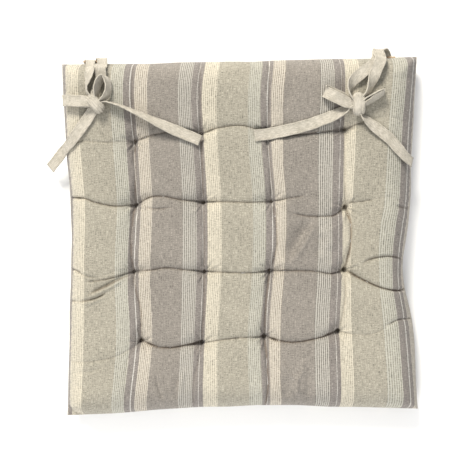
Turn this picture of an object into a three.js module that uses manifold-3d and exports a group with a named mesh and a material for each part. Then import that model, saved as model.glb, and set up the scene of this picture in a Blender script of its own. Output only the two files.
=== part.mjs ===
// Square tufted chair seat pad, 400 x 400 mm, with a bow of two cotton tapes at each back corner.
// Millimetres, +Z up, back edge towards +Y, origin at the middle of the underside.
import * as THREE from "three";
import { mergeVertices } from "three/addons/utils/BufferGeometryUtils.js";
import Module from "manifold-3d";

const SIDE = 400; // finished width and depth, seam to seam
const TUFT_X = [-118, -43, 31, 115]; // tuft columns, left to right
const TUFT_Y = [-113, -39, 36, 113]; // tuft rows, front to back
const COVER_T = 1.8; // each cover, drawn thicker than its cloth so that it is a solid
const TOP_RIM_Z = 15.0; // lower face of the top cover at the seam
const BOTTOM_RIM_Z = 14.4; // upper face of the bottom cover at the seam
const TUFT_RISE = 3; // how far the top cover stands above the seam at a tuft
const PUFF_RISE = 26; // and how much further at the middle of a puff
const EDGE_ROLL = 30; // distance from the seam at which the padding reaches full height
const UNDERSIDE_SHARE = 0.75; // the underside bulges less, and lies flat where it meets a seat
const FILL_GAP = 0.5; // between the filling and each cover

const THREAD_R = 0.7;
const THREAD_HOLE_R = 1.0;
const STITCH_R = 2.0; // the tied-off stitch at each end of a tuft

const TAPE_W = 13;
const TAPE_T = 1.0;
const SLOT_GAP = 0.3;
const HINGE_Y = 207; // the fold line of the tapes, just outside the back seam
const HINGE_Z = 19;

const wasm = await Module();
wasm.setup();

// ---------- small helpers ----------

function plain(geometry) {
  const bare = geometry.clone();
  bare.deleteAttribute("normal");
  bare.deleteAttribute("uv");
  return mergeVertices(bare, 1e-4);
}

function toSolid(geometry) {
  const bare = plain(geometry);
  return new wasm.Manifold(
    new wasm.Mesh({
      numProp: 3,
      vertProperties: new Float32Array(bare.attributes.position.array),
      triVerts: new Uint32Array(bare.index.array),
    }),
  );
}

function toGeometry(solid) {
  const mesh = solid.getMesh();
  const geometry = new THREE.BufferGeometry();
  geometry.setAttribute("position", new THREE.BufferAttribute(mesh.vertProperties, 3));
  geometry.setIndex(new THREE.BufferAttribute(mesh.triVerts, 1));
  return geometry;
}

const root = new THREE.Group();
root.name = "chair_seat_pad";

function addPart(name, geometry, [color, roughness]) {
  const shaded = geometry.toNonIndexed();
  shaded.computeVertexNormals();
  const material = new THREE.MeshStandardMaterial({ color, roughness, metalness: 0 });
  const mesh = new THREE.Mesh(shaded, material);
  mesh.name = name;
  root.add(mesh);
}

const TOP_CLOTH = [0xbdb3a1, 0.9];
const BOTTOM_CLOTH = [0xb5ab9a, 0.9];
const FIBRE = [0xf0eee8, 1.0];
const THREAD = [0x8c857b, 0.8];
const SEAM = [0x9a9184, 0.85];
const TAPE = [0xe6dfcd, 0.85];

// ---------- shape of the padding ----------

const LINES_X = [-SIDE / 2, ...TUFT_X, SIDE / 2];
const LINES_Y = [-SIDE / 2, ...TUFT_Y, SIDE / 2];

// How far a coordinate has risen out of the crease beside it: 0 on a tuft line, 1 midway between two.
function puff(value, lines) {
  const cell = lines.findIndex((line, i) => i > 0 && value <= line) - 1;
  if (cell < 0) return 0;
  const along = (value - lines[cell]) / (lines[cell + 1] - lines[cell]);
  return Math.pow(Math.max(0, Math.sin(Math.PI * along)), 0.6);
}

function rise(x, y) {
  const inset = SIDE / 2 - Math.max(Math.abs(x), Math.abs(y));
  const roll = Math.sqrt(Math.min(1, Math.max(0, inset) / EDGE_ROLL));
  return roll * (TUFT_RISE + (PUFF_RISE * (puff(x, LINES_X) + puff(y, LINES_Y))) / 2);
}

const topInner = (x, y) => TOP_RIM_Z + rise(x, y);
const topOuter = (x, y) => topInner(x, y) + COVER_T;
const bottomInner = (x, y) =>
  BOTTOM_RIM_Z - Math.min(BOTTOM_RIM_Z - COVER_T, UNDERSIDE_SHARE * rise(x, y));
const bottomOuter = (x, y) => bottomInner(x, y) - COVER_T;

// Grid lines across the pad: each cell between two tuft lines in quarters, and one more by the seam.
function gridLines(lines) {
  const out = [];
  lines.slice(0, -1).forEach((from, cell) => {
    const size = lines[cell + 1] - from;
    const steps = [0, 0.25, 0.5, 0.75];
    if (cell === 0) steps.splice(1, 0, 0.1);
    if (cell === lines.length - 2) steps.push(0.9);
    steps.forEach((step) => out.push(from + step * size));
  });
  out.push(lines[lines.length - 1]);
  return out;
}

// Splits each square of a box's two big faces along the diagonal that points away from the middle
// of the pad, so that the facets of all the layers are parallel and the corners come out alike.
function splitOutwards(box) {
  const { index, groups, attributes } = box;
  const reach = (i) => attributes.position.getX(i) ** 2 + attributes.position.getY(i) ** 2;
  for (const { start, count } of groups.slice(4)) {
    for (let i = start; i < start + count; i += 6) {
      const [a, b, d, , c] = index.array.slice(i, i + 6);
      if (Math.abs(reach(a) - reach(c)) > Math.abs(reach(b) - reach(d))) {
        index.array.set([a, b, c, a, c, d], i);
      }
    }
  }
}

// A closed body between an upper and a lower surface over the same grid, with upright sides.
function layer(upper, lower, xs, ys) {
  const box = new THREE.BoxGeometry(1, 1, 1, xs.length - 1, ys.length - 1, 1);
  const position = box.attributes.position;
  for (let i = 0; i < position.count; i++) {
    const x = xs[Math.round((position.getX(i) + 0.5) * (xs.length - 1))];
    const y = ys[Math.round((position.getY(i) + 0.5) * (ys.length - 1))];
    const surface = position.getZ(i) > 0 ? upper : lower;
    position.setXYZ(i, x, y, surface(x, y));
  }
  splitOutwards(box);
  return plain(box);
}

const GRID_X = gridLines(LINES_X);
const GRID_Y = gridLines(LINES_Y);
const FILL_X = GRID_X.slice(1, -1);
const FILL_Y = GRID_Y.slice(1, -1);

// ---------- covers, filling, tufts ----------

const tufts = [];
TUFT_Y.toReversed().forEach((y, row) =>
  TUFT_X.forEach((x, column) => tufts.push({ name: `r${row + 1}_c${column + 1}`, x, y })),
);

function withThreadHoles(geometry) {
  let solid = toSolid(geometry);
  for (const { x, y } of tufts) {
    const hole = new THREE.CylinderGeometry(THREAD_HOLE_R, THREAD_HOLE_R, 120, 6);
    hole.rotateX(Math.PI / 2).translate(x, y, 0);
    solid = solid.subtract(toSolid(hole));
  }
  return solid;
}

// Where a tape passes through the back seam, the top cover is relieved by this much.
function tapeSlot(x) {
  const slot = new THREE.BoxGeometry(TAPE_W + 2 * SLOT_GAP, 9, 1.6);
  slot.translate(x, SIDE / 2 - 4, TOP_RIM_Z + 0.5);
  return toSolid(slot);
}

const TAPE_ROOTS = { left_tie_a: -171, left_tie_b: -157, right_tie_a: 157, right_tie_b: 171 };

let topCover = withThreadHoles(layer(topOuter, topInner, GRID_X, GRID_Y));
for (const x of Object.values(TAPE_ROOTS)) topCover = topCover.subtract(tapeSlot(x));
addPart("top_cover", toGeometry(topCover), TOP_CLOTH);

const bottomCover = withThreadHoles(layer(bottomInner, bottomOuter, GRID_X, GRID_Y));
addPart("bottom_cover", toGeometry(bottomCover), BOTTOM_CLOTH);

const filling = withThreadHoles(
  layer(
    (x, y) => topInner(x, y) - FILL_GAP,
    (x, y) => bottomInner(x, y) + FILL_GAP,
    FILL_X,
    FILL_Y,
  ),
);
addPart("filling", toGeometry(filling), FIBRE);

for (const { name, x, y } of tufts) {
  const high = topOuter(x, y);
  const low = bottomOuter(x, y);
  const profile = [
    [0, low - 2.6],
    [STITCH_R, low - 1.9],
    [THREAD_R, low - 0.6],
    [THREAD_R, high + 0.6],
    [STITCH_R, high + 1.9],
    [0, high + 2.6],
  ].map(([r, z]) => new THREE.Vector2(r, z));
  const thread = new THREE.LatheGeometry(profile, 7);
  thread.rotateX(Math.PI / 2).translate(x, y, 0);
  addPart(`tuft_thread_${name}`, plain(thread), THREAD);
}

// The line of seam stitches: a thin ring round the edge, over the joint of the two covers.
const SEAM_IN = SIDE / 2 + 0.35;
const SEAM_OUT = SIDE / 2 + 1.15;
const square = (half) => [
  new THREE.Vector2(-half, -half),
  new THREE.Vector2(half, -half),
  new THREE.Vector2(half, half),
  new THREE.Vector2(-half, half),
];
const ring = new THREE.Shape(square(SEAM_OUT));
ring.holes.push(new THREE.Path(square(SEAM_IN)));
const seam = new THREE.ExtrudeGeometry(ring, { depth: 0.6, bevelEnabled: false });
seam.translate(0, 0, 14.1);
addPart("edge_seam_thread", plain(seam), SEAM);

// ---------- ties ----------

const at = (x, y, z, width = 1) => ({ place: new THREE.Vector3(x, y, z), width });
const on = (x, y, lift, width = 1) => at(x, y, topOuter(x, y) + lift, width);

// Upward direction of the padding round a place, smoothed over a tape's width.
function padNormal({ x, y }) {
  const slope = (a, b) => Math.max(-0.35, Math.min(0.35, (a - b) / 16));
  return new THREE.Vector3(
    slope(topOuter(x - 8, y), topOuter(x + 8, y)),
    slope(topOuter(x, y - 8), topOuter(x, y + 8)),
    1,
  ).normalize();
}

// A flat tape along a route. Its width lies along `across` if given, else flat on the padding.
function tape(route, { across = null, steps = 12 } = {}) {
  const curve = new THREE.CatmullRomCurve3(route.map((stop) => stop.place), false, "centripetal");
  const box = new THREE.BoxGeometry(TAPE_W, TAPE_T, 1, 1, 1, steps);
  const position = box.attributes.position;
  for (let i = 0; i < position.count; i++) {
    const s = position.getZ(i) + 0.5;
    const place = curve.getPoint(s);
    const ahead = curve.getTangent(s);
    const side = across
      ? across.clone().addScaledVector(ahead, -across.dot(ahead)).normalize()
      : padNormal(place).cross(ahead).normalize();
    const up = ahead.clone().cross(side);
    const stop = Math.min(s * (route.length - 1), route.length - 1.001);
    const first = Math.floor(stop);
    const from = route[first].width;
    const width = from + (route[first + 1].width - from) * (stop - first);
    place.addScaledVector(side, position.getX(i) * width);
    place.addScaledVector(up, position.getY(i));
    position.setXYZ(i, place.x, place.y, place.z);
  }
  return plain(box);
}

const ALONG_X = new THREE.Vector3(1, 0, 0);
const UPRIGHT = new THREE.Vector3(0, 0, 1);

// Each tape comes out of the back seam and turns up, and ends just short of the fold line.
for (const [name, x] of Object.entries(TAPE_ROOTS)) {
  const route = [
    at(x, SIDE / 2 - 7.5, TOP_RIM_Z + 0.5),
    at(x, SIDE / 2 - 3, TOP_RIM_Z + 0.5),
    at(x, SIDE / 2 + 1, TOP_RIM_Z + 0.5),
    at(x, SIDE / 2 + 4.2, TOP_RIM_Z + 1.2),
    at(x, HINGE_Y - 1.1, HINGE_Z - 1.2),
  ];
  addPart(`${name}_root`, tape(route, { across: ALONG_X, steps: 8 }), TAPE);
}

// From the fold line each tape arches back over the edge and down to the knot.
const arch = (x, lean) => [
  at(x, HINGE_Y + 0.2, HINGE_Z + 0.5),
  at(x + 0.1 * lean, HINGE_Y + 2.4, HINGE_Z + 6),
  at(x + 0.3 * lean, HINGE_Y + 1, HINGE_Z + 12.5),
  at(x + 0.65 * lean, HINGE_Y - 4.5, HINGE_Z + 17),
];

function addKnot(name, x, y, turn) {
  const profile = [
    [0, -11],
    [5, -11],
    [7, -8],
    [7.4, 0],
    [7, 8],
    [5, 11],
    [0, 11],
  ].map(([r, along]) => new THREE.Vector2(r, along));
  const knot = new THREE.LatheGeometry(profile, 12);
  knot.scale(1, 1, 0.72).rotateZ(turn).translate(x, y, topOuter(x, y) + 6.6);
  addPart(name, plain(knot), TAPE);
}

// Right corner
addKnot("right_bow_knot", 136, 149, 0);
addPart(
  "right_tie_a_strand",
  tape(
    [
      ...arch(157, -12),
      on(142.5, 194, 12),
      on(133, 183, 7),
      on(128, 172, 6, 0.7),
      on(130.5, 161.8, 6.2, 0.45),
    ],
    { across: ALONG_X, steps: 14 },
  ),
  TAPE,
);
addPart(
  "right_tie_b_strand",
  tape(
    [
      ...arch(171, -6),
      on(162, 194, 13),
      on(154, 182, 7),
      on(146, 171, 6, 0.7),
      on(141, 161.8, 6.2, 0.45),
    ],
    { across: ALONG_X, steps: 14 },
  ),
  TAPE,
);
addPart(
  "right_bow_loop_inner",
  tape(
    [
      on(127.6, 152.5, 8.2, 0.6),
      on(113, 157.5, 13.5),
      on(102, 160.5, 8.2),
      on(97.5, 161.5, 5.6),
      on(102, 160, 3.4),
      on(113, 156, 6.5),
      on(127.6, 151.5, 5.6, 0.6),
    ],
    { across: new THREE.Vector3(0.3, 1, 0).normalize(), steps: 18 },
  ),
  TAPE,
);
addPart(
  "right_bow_loop_outer",
  tape(
    [
      on(144.4, 155, 7, 0.6),
      on(153, 161.5, 8),
      on(161, 166.5, 9.5),
      on(165.5, 165.5, 10),
      on(163, 160, 9),
      on(154, 154, 8),
      on(144.4, 150.6, 7, 0.6),
    ],
    { across: UPRIGHT, steps: 18 },
  ),
  TAPE,
);
addPart(
  "right_bow_tail_inner",
  tape([
    on(127.4, 143, 5.6, 0.5),
    at(109, 141, 44),
    on(81, 131.5, 3.2),
    on(58, 123.5, 3.2),
    at(35, 117.5, 36),
    at(15.5, 113.8, 34.5),
  ]),
  TAPE,
);
addPart(
  "right_bow_tail_outer",
  tape([
    on(139.5, 137, 5.4, 0.5),
    on(149, 128.5, 4),
    at(166, 112.8, 39.5),
    at(180.3, 96.7, 39.5),
    at(192.7, 82.8, 34.5),
  ]),
  TAPE,
);

// Left corner
addKnot("left_bow_knot", -163, 155, 0.7);
addPart(
  "left_tie_a_strand",
  tape(
    [
      ...arch(-171, -2),
      on(-174, 194, 12),
      on(-177, 181, 7),
      on(-176, 171, 6.4, 0.7),
      on(-171.6, 164.6, 6.4, 0.45),
    ],
    { across: ALONG_X, steps: 14 },
  ),
  TAPE,
);
addPart(
  "left_tie_b_strand",
  tape(
    [
      ...arch(-157, -2),
      on(-160, 194, 12),
      on(-163.5, 183, 8, 0.8),
      on(-165, 174, 6.6, 0.55),
      on(-166.5, 167, 6.4, 0.4),
    ],
    { across: ALONG_X, steps: 14 },
  ),
  TAPE,
);
addPart(
  "left_bow_loop_outer",
  tape(
    [
      at(-173.6, 154.5, 49.5, 0.6),
      at(-184, 155.6, 49),
      at(-195, 155.9, 45),
      at(-199.4, 155.8, 41.5),
      at(-195, 155.6, 39.5),
      at(-184, 154.8, 43.4),
      at(-173.6, 153.8, 47, 0.6),
    ],
    { across: new THREE.Vector3(0, 1, 0), steps: 18 },
  ),
  TAPE,
);
addPart(
  "left_bow_loop_inner",
  tape(
    [
      on(-156.2, 162.2, 7.6, 0.6),
      on(-153.5, 173, 8),
      on(-151.5, 182, 9),
      on(-147.5, 186.5, 10),
      on(-144, 181, 9),
      on(-145.5, 170, 8),
      on(-152.2, 159.2, 7.6, 0.6),
    ],
    { across: UPRIGHT, steps: 18 },
  ),
  TAPE,
);
addPart(
  "left_bow_tail_outer",
  tape([
    on(-166.5, 145.6, 5.4, 0.5),
    on(-179, 130, 4.5),
    at(-191, 113.3, 31.5),
    at(-203.8, 98.6, 25),
    at(-215.5, 81.7, 17.5),
  ]),
  TAPE,
);
addPart(
  "left_bow_tail_inner",
  tape([
    on(-151.6, 149.6, 5.4, 0.5),
    on(-141, 148, 4),
    at(-119, 140, 43.5),
    on(-90.5, 128, 3.6),
    on(-62, 115.5, 4.6),
    at(-43.5, 108, 32),
  ]),
  TAPE,
);

// Dense stitching across each pair of tapes, where they leave the back seam.
const TACK_Y = SIDE / 2 + 1.6;
const TACK_Z = TOP_RIM_Z + 1.75;
for (const [name, x] of [["left_bar_tack", -164], ["right_bar_tack", 164]]) {
  const tack = new THREE.BoxGeometry(2 * TAPE_W, 0.8, 0.6);
  tack.translate(x, TACK_Y, TACK_Z);
  addPart(name, plain(tack), SEAM);
}

export default root;
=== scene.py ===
# Striped, tufted chair seat pad with bow ties. Metres, +Z up, back edge towards +Y.
import math

import bpy
import numpy as np
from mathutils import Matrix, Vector
from mathutils.bvhtree import BVHTree


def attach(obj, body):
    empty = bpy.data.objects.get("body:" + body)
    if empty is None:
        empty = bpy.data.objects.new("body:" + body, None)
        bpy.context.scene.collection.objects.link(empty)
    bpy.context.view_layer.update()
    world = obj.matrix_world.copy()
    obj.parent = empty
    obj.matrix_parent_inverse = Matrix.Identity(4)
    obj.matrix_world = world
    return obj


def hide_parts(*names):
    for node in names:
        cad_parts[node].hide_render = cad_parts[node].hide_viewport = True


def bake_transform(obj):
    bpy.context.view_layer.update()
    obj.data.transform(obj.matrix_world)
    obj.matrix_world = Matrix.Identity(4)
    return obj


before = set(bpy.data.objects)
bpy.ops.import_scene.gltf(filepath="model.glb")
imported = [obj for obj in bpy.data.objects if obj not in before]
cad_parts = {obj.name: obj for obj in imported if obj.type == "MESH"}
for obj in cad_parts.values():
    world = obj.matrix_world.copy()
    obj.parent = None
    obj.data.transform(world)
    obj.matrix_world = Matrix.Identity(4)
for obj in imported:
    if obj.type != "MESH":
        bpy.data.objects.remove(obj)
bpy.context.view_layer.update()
MM = 0.001
rng = np.random.default_rng(7)

# ---------------------------------------------------------------- camera

VIEW_TURN = math.radians(0.8)  # the camera stands a little askew to the pad
camera = bpy.data.objects.new("camera", bpy.data.cameras.new("camera"))
bpy.context.scene.collection.objects.link(camera)
camera.data.lens = 60
camera.location = (-0.0125, 0.0068, 0.889)
camera.rotation_euler = (0, 0, -VIEW_TURN)
bpy.context.scene.camera = camera

# ---------------------------------------------------------------- cut of the cloth

# Flat cloth, in mm: seam, four tuft lines, seam. X runs across the stripes, Y along them.
FLAT_X = [0, 85, 171, 252.5, 340, 425]
FLAT_Y = [0, 92, 174, 257, 341, 434]
# Where those lines end up on the finished pad: rows from the front edge to the back edge, in mm.
PLAN = [
    [(-201, -202), (-132, -199), (-56, -195), (25, -193.5), (108, -196), (199, -200)],
    [(-197.5, -116), (-113, -115), (-46, -118), (24, -112), (106, -107), (194, -105)],
    [(-194.5, -37), (-120, -38), (-42, -39), (31, -39), (114, -39), (184, -44)],
    [(-193.5, 38), (-117, 36), (-42, 38), (34, 38), (116, 31), (193, 33)],
    [(-198.5, 108), (-117, 107), (-43, 114), (30, 113), (116, 117), (197, 112)],
    [(-201, 198), (-118, 198), (-43, 198.5), (33, 199), (113, 200), (203, 201)],
]
# Cloth coordinate across the stripes, in mm from the left seam, at each of those points. The tufts are
# stitched through whatever stripe lay there, so it wanders a little from row to row.
ACROSS = [
    [0, 79.5, 161.5, 247, 340, 433],
    [1, 91, 170, 248, 339, 435],
    [1, 83.5, 169.5, 249, 346, 432],
    [1, 82.5, 168.5, 250.5, 346, 430],
    [1, 86, 170.5, 250, 341, 430],
    [0, 86, 166, 248.5, 333.5, 426],
]
# Places where a puff drags the stripes sideways: x, y, reach across and along, and how far, all in mm.
DRIFT = [(-122, 155, 26, 34, 3.0), (-46, 158, 26, 34, 4.0), (31, 160, 26, 34, 3.0)]
# Cloth swallowed by the two deepest lengthwise creases: ((y, x of the crease, width hidden), ...), in mm.
TUCKS = [
    [
        *((-194, 24, 5), (-160, 27, 6), (-112, 24, 3), (-74, 26, 5), (-39, 31, 4)),
        *((0, 39, 2), (38, 34, 2), (75, 33, 4), (113, 30, 2), (199, 33, 0)),
    ],
    [
        *((-196, 108, 2), (-107, 106, 3), (-39, 114, 6), (-13, 120, 9), (12, 121, 9)),
        *((31, 116, 6), (80, 115, 5), (117, 116, 4), (200, 113, 2)),
    ],
]
PER_CELL = 22  # grid steps between two lines
N = 5 * PER_CELL
SEAM_Z = 15.0
TUFT_TOP_Z = 26.0
TUFT_BOTTOM_Z = 9.5
CREST_Z = 46.0
CREST_BOTTOM_Z = -7.0  # before it is pressed flat on the seat
FLAT_BELOW = 2.0  # height at which the seat starts to flatten it


def spline(values, t):
    """Catmull-Rom through values (k, ...) at t in [0, k-1]; runs straight out at both ends."""
    v = np.asarray(values, float)
    v = np.concatenate([[2 * v[0] - v[1]], v, [2 * v[-1] - v[-2]]])
    i = np.minimum(t.astype(int), len(v) - 4)
    f = (t - i).reshape(-1, *([1] * (v.ndim - 1)))
    a, b, c, d = v[i], v[i + 1], v[i + 2], v[i + 3]
    return b + 0.5 * f * (
        c - a + f * (2 * a - 5 * b + 4 * c - d + f * (3 * (b - c) + d - a))
    )


steps = np.arange(N + 1) / PER_CELL
flat_x = np.interp(steps, range(6), FLAT_X)
flat_y = np.interp(steps, range(6), FLAT_Y)
rows = spline(PLAN, steps)  # (N+1, 6, 2), one curve for each column line
plan = np.stack([spline(row, steps) for row in rows])  # (N+1, N+1, 2)
PX, PY = plan[..., 0].ravel(), plan[..., 1].ravel()
FX, FY = (a.ravel() for a in np.meshgrid(flat_x, flat_y))
# The cloth lies flatter in the middle of a puff than on its shoulders.
shoulders = steps + 0.15 * np.sin(2 * np.pi * steps) / (2 * np.pi)
STRIPE_X = np.stack([np.interp(shoulders, range(6), row) for row in spline(ACROSS, steps)]).ravel()
for dx, dy, rx, ry, drag in DRIFT:
    STRIPE_X += drag * np.exp(-(((PX - dx) / rx) ** 2) - ((PY - dy) / ry) ** 2)

for tuck in TUCKS:
    tuck_y, tuck_x, hidden = np.array(tuck, float).T
    beyond = PX - np.interp(PY, tuck_y, tuck_x)
    swallowed = np.interp(PY, tuck_y, hidden) * (1 - np.exp(-beyond.clip(0) / 2)) * (1 - beyond / 75).clip(0)
    STRIPE_X += np.where(beyond > 0, swallowed, 0)

# ---------------------------------------------------------------- creases

# Folds between the tufts: (how deep, 0 to 1, how sharp in mm, points in mm on the pad).
TUFTS = [[PLAN[r][c] for c in (1, 2, 3, 4)] for r in (4, 3, 2, 1)]
CREASES = [
    # lengthwise, column by column, back to front
    (0.78, 1.0, [(-118, 198), (-118, 157), (-117, 107)]),
    (0.98, 1.6, [(-117, 107), (-117, 88), (-116, 72), (-117, 36)]),
    (0.98, 1.6, [(-117, 36), (-119, 26), (-121, 7), (-122, -18), (-120, -38)]),
    (0.95, 1.5, [(-120, -38), (-117, -60), (-112, -80), (-113, -115)]),
    (0.65, 0.6, [(-113, -115), (-125, -130), (-130, -152), (-132, -199)]),
    (0.75, 0.9, [(-43, 198), (-43, 156), (-43, 114)]),
    (0.88, 1.3, [(-43, 114), (-42, 76), (-42, 38)]),
    (0.81, 1.1, [(-42, 38), (-41, 2), (-42, -39)]),
    (0.88, 1.3, [(-42, -39), (-42, -75), (-46, -118)]),
    (0.71, 0.8, [(-46, -118), (-49, -136), (-55, -162), (-56, -195)]),
    (0.75, 0.9, [(33, 199), (33, 155), (30, 113)]),
    (0.85, 1.2, [(30, 113), (33, 75), (34, 38)]),
    (0.88, 1.3, [(34, 38), (38, 18), (39, -11), (31, -39)]),
    (0.98, 1.6, [(31, -39), (26, -74), (24, -112)]),
    (1.0, 2.0, [(24, -112), (26, -132), (27, -160), (26, -180), (24, -194)]),
    (0.75, 0.9, [(113, 200), (114, 155), (116, 117)]),
    (0.78, 1.0, [(116, 117), (115, 80), (115, 52), (116, 31)]),
    (1.0, 2.0, [(116, 31), (121, 12), (120, -13), (114, -39)]),
    (0.78, 1.0, [(114, -39), (113, -75), (106, -107)]),
    (0.61, 0.5, [(106, -107), (107, -145), (108, -196)]),
    # crosswise, row by row from the back, left to right
    (0.71, 0.8, [(-198, 108), (-171, 107), (-148, 105), (-117, 107)]),
    (0.88, 1.3, [(-117, 107), (-100, 112), (-85, 115), (-62, 117), (-43, 114)]),
    (0.91, 1.4, [(-43, 114), (-27, 119), (-5, 122), (11, 120), (30, 113)]),
    (0.95, 1.5, [(30, 113), (50, 111), (76, 112), (116, 117)]),
    (0.85, 1.2, [(116, 117), (130, 122), (144, 127)]),
    (0.5, 0.35, [(144, 127), (166, 128), (197, 121)]),
    (0.98, 1.6, [(-193, 46), (-174, 44), (-160, 39), (-140, 35), (-117, 36)]),
    (0.98, 1.6, [(-117, 36), (-101, 44), (-86, 45), (-72, 42), (-58, 40), (-42, 38)]),
    (0.91, 1.4, [(-42, 38), (-14, 38), (10, 37), (34, 38)]),
    (0.80, 1.1, [(34, 38), (44, 39.5), (56, 41.5), (70, 43)]),
    (0.92, 1.4, [(58, 23.5), (76, 20.7), (96, 20.7), (105, 22.5), (116, 31)]),
    (0.80, 1.1, [(118, 35), (132, 36), (146, 38)]),
    (0.5, 0.4, [(146, 38), (161, 41), (178, 36), (193, 30)]),
    (0.75, 1.0, [(-194, -34), (-184, -37), (-172, -42), (-160, -44)]),
    (0.95, 1.4, [(-170, -48), (-158, -47), (-143, -44), (-120, -38)]),
    (0.95, 1.5, [(-120, -38), (-99, -36), (-84, -34), (-66, -36), (-42, -39)]),
    (0.91, 1.4, [(-42, -39), (-13, -40), (10, -41), (31, -39)]),
    (0.95, 1.5, [(31, -39), (56, -39), (80, -40), (98, -43), (114, -39)]),
    (1.0, 1.9, [(114, -39), (133, -50), (153, -59), (173, -63), (185, -62)]),
    (0.68, 0.7, [(-197, -137), (-174, -137), (-148, -133), (-131, -127), (-113, -115)]),
    (1.0, 1.9, [(-113, -115), (-95, -121), (-78, -122), (-58, -119), (-46, -118)]),
    (0.88, 1.3, [(-46, -118), (-14, -113), (5, -112), (24, -112)]),
    (1.0, 1.8, [(24, -112), (38, -116), (55, -118), (73, -116), (91, -112), (106, -107)]),
    (0.6, 0.6, [(106, -107), (124, -110), (142, -110), (158, -104)]),
    (0.8, 1.2, [(158, -101), (172, -95), (184, -95), (194, -97)]),
]
# Loose folds inside the puffs: (height of the ridge or depth of the fold in mm, width to the left and to the
# right of the way it runs, points). A deep narrow fold also gets painted shade along its bottom.
FOLDS = [
    (-3.2, 1.2, 2.6, [(-123, -41), (-133, -45), (-147, -52), (-160, -58), (-171, -63)]),
    (2.6, 2.4, 2.4, [(-126, -44), (-137, -49.5), (-150, -56.5), (-163, -63), (-172, -67)]),
    (-2.6, 1.4, 2.4, [(-149, -59), (-155, -63.5), (-162, -66.5), (-174, -69.6), (-192, -70.6)]),
    (1.6, 2.2, 2.6, [(-152, -64), (-163, -70), (-174, -73)]),
    (2.0, 2.6, 2.6, [(-127, -38.5), (-140, -42), (-154, -46), (-167, -51)]),
    (-2.4, 1.5, 2.0, [(-192, -70.6), (-188, -70.6), (-184, -70)]),
    (-1.8, 1.4, 2.2, [(-109, 34), (-101, 32), (-90, 31), (-74, 33)]),
    (-3.0, 1.4, 2.4, [(131, -33), (143, -27), (159, -24.5), (172, -26), (187, -32)]),
    (-2.2, 1.6, 2.4, [(170, 31), (182, 29), (192, 29)]),
    (-2.4, 1.4, 2.0, [(-192, 46), (-184, 45), (-174, 43)]),
    (-2.2, 1.4, 2.0, [(-193, -34), (-184, -36), (-178, -39)]),
    (-6.5, 5.0, 10, [(77, 17), (68, 2), (59, -13), (49, -29)]),
    (3.0, 4.4, 3.2, [(83.5, 17), (74.5, 2), (65.5, -13), (54, -31)]),
    (2.6, 9.0, 9.0, [(96, 12), (98, -2), (96, -18)]),
    (-2.4, 5.0, 4.0, [(86, 2), (86, -10), (80, -24)]),
    (-1.0, 2.4, 2.4, [(-153, -141), (-170, -147), (-195, -150)]),
    (-0.9, 2.4, 2.4, [(-174, -163), (-195, -165)]),
    (-2.4, 7.0, 2.2, [(-97, -150), (-93, -168), (-89, -181)]),
    (1.8, 2.2, 2.2, [(-93, -146), (-88, -166), (-85, -179)]),
    (-2.4, 2.2, 6.0, [(-70, -146), (-73, -168), (-75, -180)]),
    (1.8, 2.4, 2.4, [(-66, -146), (-69, -168), (-71, -179)]),
    (2.2, 2.8, 2.8, [(60, -150), (59, -166), (60, -180)]),
    (1.8, 2.0, 2.0, [(43, -138), (49, -149), (58, -160)]),
    (-2.6, 3.0, 7.0, [(46, -154), (49, -168), (50, -180)]),
    (1.4, 2.0, 2.4, [(67, -136), (65, -148), (61, -160)]),
    (-2.0, 7.0, 3.0, [(72, -146), (71, -166), (72, -180)]),
    (-1.5, 3.0, 3.0, [(118, 116), (124, 126), (131, 132)]),
    (-1.4, 6.0, 6.0, [(144, 166), (160, 171), (178, 171), (192, 168)]),
    (-1.5, 3.0, 3.0, [(100, 184), (107, 190), (112, 197)]),
    (-1.2, 5.0, 5.0, [(52, 100), (50, 128), (56, 158), (64, 186)]),
]


def unit(vectors):
    return vectors / np.maximum(np.linalg.norm(vectors, axis=1, keepdims=True), 1e-9)


def running_length(points):
    """Length along a line up to each of its points."""
    return np.r_[0, np.cumsum(np.linalg.norm(np.diff(points, axis=0), axis=1))]


def to_segment(x, y, a, d):
    """Distance to the segment from a to a + d, and where along it the nearest point is, 0 to 1."""
    t = np.clip(((x - a[0]) * d[0] + (y - a[1]) * d[1]) / max(d @ d, 1e-9), 0, 1)
    return np.hypot(x - a[0] - t * d[0], y - a[1] - t * d[1]), t


NEAR = 45  # mm; nothing further off than this feels a crease or a fold


def near(points, x, y):
    """How far each (x, y) is from a smoothed polyline in mm, where along it, 0 to 1, and on which side."""
    p = spline(points, np.linspace(0, len(points) - 1, 5 * len(points)))
    (left, front), (right, back) = p.min(0) - NEAR, p.max(0) + NEAR
    close = np.flatnonzero((x > left) & (x < right) & (y > front) & (y < back))
    px, py = x[close], y[close]
    r, along, left_hand = np.full(len(px), 1e9), np.zeros(len(px)), np.zeros(len(px), bool)
    for k in range(len(p) - 1):
        a, d = p[k], p[k + 1] - p[k]
        off, t = to_segment(px, py, a, d)
        along = np.where(off < r, (k + t) / (len(p) - 1), along)
        left_hand = np.where(off < r, d[0] * (py - a[1]) > d[1] * (px - a[0]), left_hand)
        r = np.minimum(r, off)
    best, where, side = np.full(len(x), 1e9), np.zeros(len(x)), np.zeros(len(x), bool)
    best[close], where[close], side[close] = r, along, left_hand
    return best, where, side


def crown(d, radius):
    """A quarter-round: 0 on the line, 1 at the radius and beyond."""
    t = np.clip(d / radius, 0, 1)
    return np.sqrt(1 - (1 - t) ** 2)


def rim(grid):
    """The outer points of a square grid in order, once round."""
    return np.concatenate([grid[0], grid[1:, -1], grid[-1, -2::-1], grid[-2:0:-1, 0]])


OUTLINE = rim(plan)
EAR = (-185, -184)  # the front left corner is rounded about this point, and its seam sticks out
EAR_RADIUS = 15


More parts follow.
